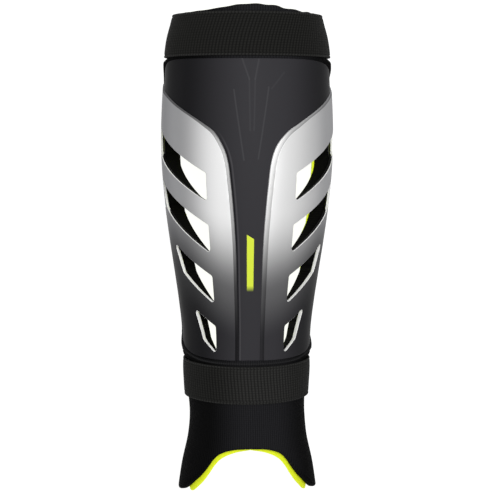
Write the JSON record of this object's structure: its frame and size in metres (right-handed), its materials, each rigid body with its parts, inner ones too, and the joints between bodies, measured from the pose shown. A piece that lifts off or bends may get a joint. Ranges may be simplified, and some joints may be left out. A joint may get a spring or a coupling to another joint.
{
  "type": "field hockey shin guard",
  "caption": "Field hockey shin guard: vented moulded shell on foam padding with a lining, two elastic straps and an ankle section with side flaps.",
  "frame": {"origin": "on the floor, under the middle of the bounding box, with the guard lying on its open back", "axes": "+X across the guard, +Y along it towards the knee, +Z out of the shin"},
  "size_m": [0.1356, 0.384, 0.0752],
  "materials": {
    "shell": "satin paint, silver wings and a charcoal spine and yoke",
    "padding": "black knit over foam",
    "lining": "yellow-green brushed knit",
    "strap": "black ribbed elastic"
  },
  "bodies": {
    "root": {"shell": "shell", "padding": "padding", "lining": "lining", "upper_strap": "strap", "lower_strap": "strap"}
  },
  "joints": []
}
